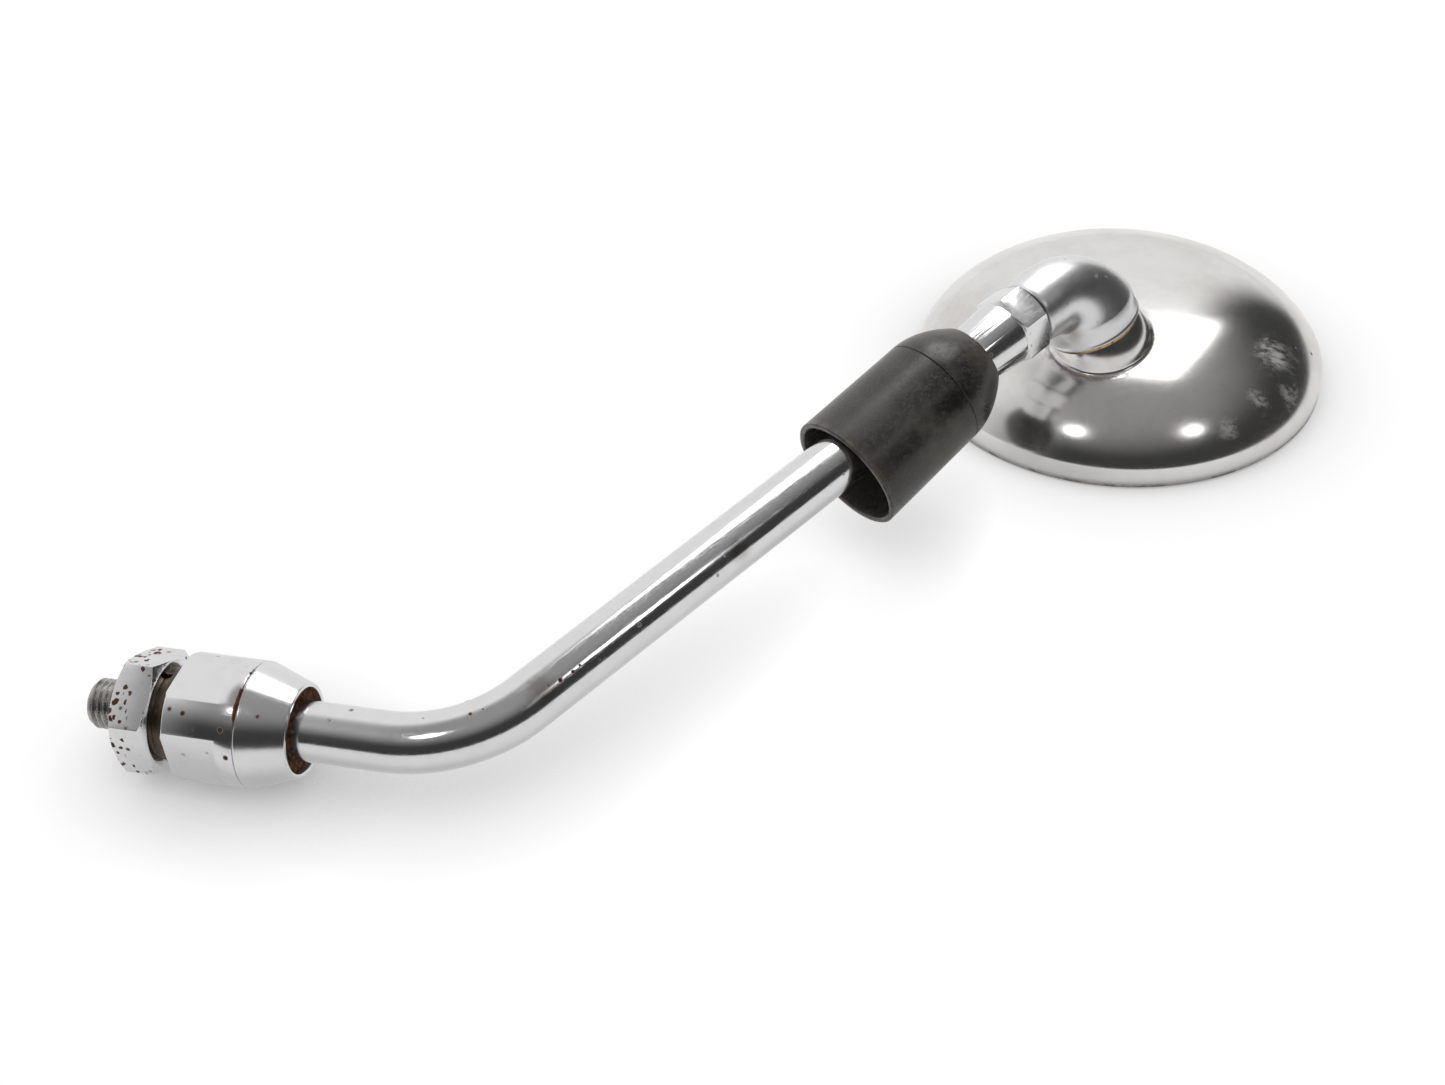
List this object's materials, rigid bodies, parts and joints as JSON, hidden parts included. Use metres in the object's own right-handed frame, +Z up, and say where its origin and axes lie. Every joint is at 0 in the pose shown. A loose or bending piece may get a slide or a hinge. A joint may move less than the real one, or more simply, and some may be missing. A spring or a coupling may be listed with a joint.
{
  "type": "motorcycle mirror",
  "caption": "Round motorcycle mirror: domed chromed shell on a ball joint and cast elbow, carried by a bent stem with rubber sleeve, conical swivel adapter, threaded stud and lock nut.",
  "frame": {"origin": "on the stud's axis, at the face of the lock nut that seats on the handlebar clamp", "axes": "+Z up the stud's axis towards the stem, -Z out of the stud's free end, +Y out of the mirror glass, -Y out of the back of the shell; the stem leans towards -X"},
  "size_m": [0.2272, 0.0451, 0.2367],
  "materials": {
    "chrome": "polished, with scratches, pits and rust specks",
    "shell_chrome": "polished, slightly hazed and scuffed",
    "bare_steel": "dark, greasy and lightly rusted",
    "spring_steel": "satin",
    "rusty_packing": "rusted",
    "seat_brass": "tarnished",
    "rubber": "matt, scuffed and dusty",
    "foam": "matt",
    "plated_steel": "satin zinc plate",
    "mirror_glass": "silvered"
  },
  "bodies": {
    "adapter": {"stud": "bare_steel", "lock_nut": "chrome", "plain_washer": "bare_steel", "spring_washer": "bare_steel", "adapter_body": "chrome", "cone_collar": "chrome", "stem_washer": "spring_steel", "packing_ring": "rusty_packing"},
    "stem": {"stem_rod": "chrome", "ferrule_nut": "chrome", "elbow": "chrome", "pivot_stud": "plated_steel", "friction_washer": "spring_steel", "pivot_spring": "spring_steel", "spring_cup": "plated_steel", "pivot_nut": "plated_steel"},
    "sleeve": {"rubber_sleeve": "rubber"},
    "seat": {"seat_ring": "seat_brass"},
    "head": {"mirror_shell": "shell_chrome", "backing_plate": "plated_steel", "cushion_ring": "foam", "mirror_glass": "mirror_glass", "edge_seal": "rubber"}
  },
  "joints": [
    {"name": "stem_swivel", "type": "hinge", "parent": "adapter", "child": "stem", "pos_m": [0, 0, 0.0263], "axis": [0, 0, 1], "continuous": true},
    {"name": "sleeve_slide", "type": "slide", "parent": "stem", "child": "sleeve", "axis": [-0.8128, -0.136, 0.5664], "range_m": [-0.085, 0]},
    {"name": "head_spin", "type": "hinge", "parent": "stem", "child": "seat", "pos_m": [-0.14606, -0.00622, 0.17577], "axis": [-0.0796, 0.926, 0.3692], "range_deg": [-120, 120]},
    {"name": "head_tilt", "type": "hinge", "parent": "seat", "child": "head", "pos_m": [-0.14606, -0.00622, 0.17577], "axis": [-0.9776, 0, -0.2107], "range_deg": [-36, 0]}
  ]
}
